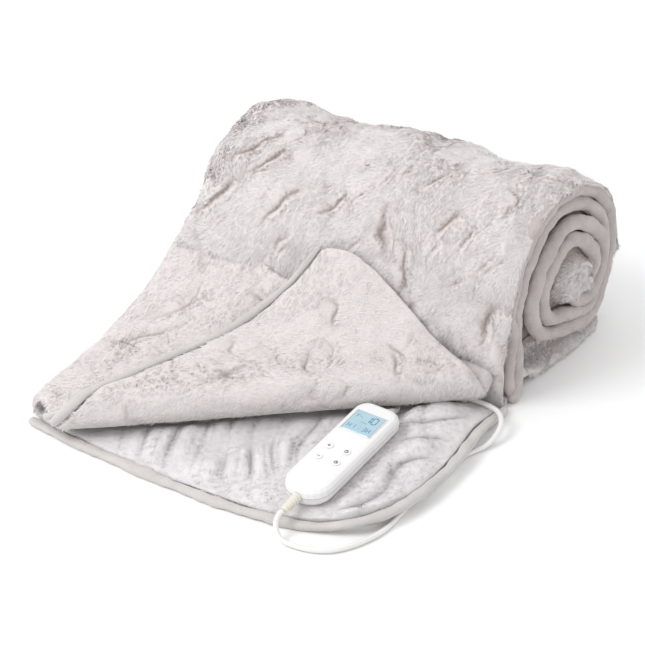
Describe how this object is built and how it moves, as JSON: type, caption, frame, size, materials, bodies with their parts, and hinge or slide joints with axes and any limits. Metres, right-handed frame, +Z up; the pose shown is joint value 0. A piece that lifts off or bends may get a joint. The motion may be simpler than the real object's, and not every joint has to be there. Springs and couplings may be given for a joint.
{
  "type": "electric heated blanket",
  "caption": "Folded and rolled plush heated blanket with bound edges, one corner turned back, a hand controller with its lead, and a mains lead with plug.",
  "frame": {"origin": "middle of the base, measured without the leads and the plug", "axes": "+Z up, +X along the roll towards its open spiral end, -Y towards the loose end"},
  "size_m": [0.439, 0.6348, 0.2064],
  "materials": {
    "plush": "long brushed pile outside, short smooth fleece inside",
    "binding": "smooth woven tape",
    "white_plastic": "satin",
    "screen": "lit display window",
    "keys": "satin",
    "cream_rubber": "matte",
    "white_lead": "smooth satin sheath",
    "pins": "plain"
  },
  "bodies": {
    "root": {"blanket_roll": "plush", "blanket_loose_end": "plush", "binding_lower_edge": "binding", "binding_upper_edge": "binding", "binding_spiral_outer": "binding", "binding_spiral_inner": "binding", "controller_body": "white_plastic", "controller_screen": "screen", "controller_key_upper_left": "keys", "controller_key_upper_right": "keys", "controller_key_lower_left": "keys", "controller_key_lower_right": "keys", "strain_relief_lower": "cream_rubber", "strain_relief_upper": "cream_rubber", "lead_to_blanket": "white_lead", "mains_lead": "white_lead", "mains_lead_tail": "white_lead", "mains_lead_coil": "white_lead", "blanket_socket": "cream_rubber", "plug_body": "white_plastic", "plug_pin_left": "pins", "plug_pin_right": "pins"}
  },
  "joints": []
}
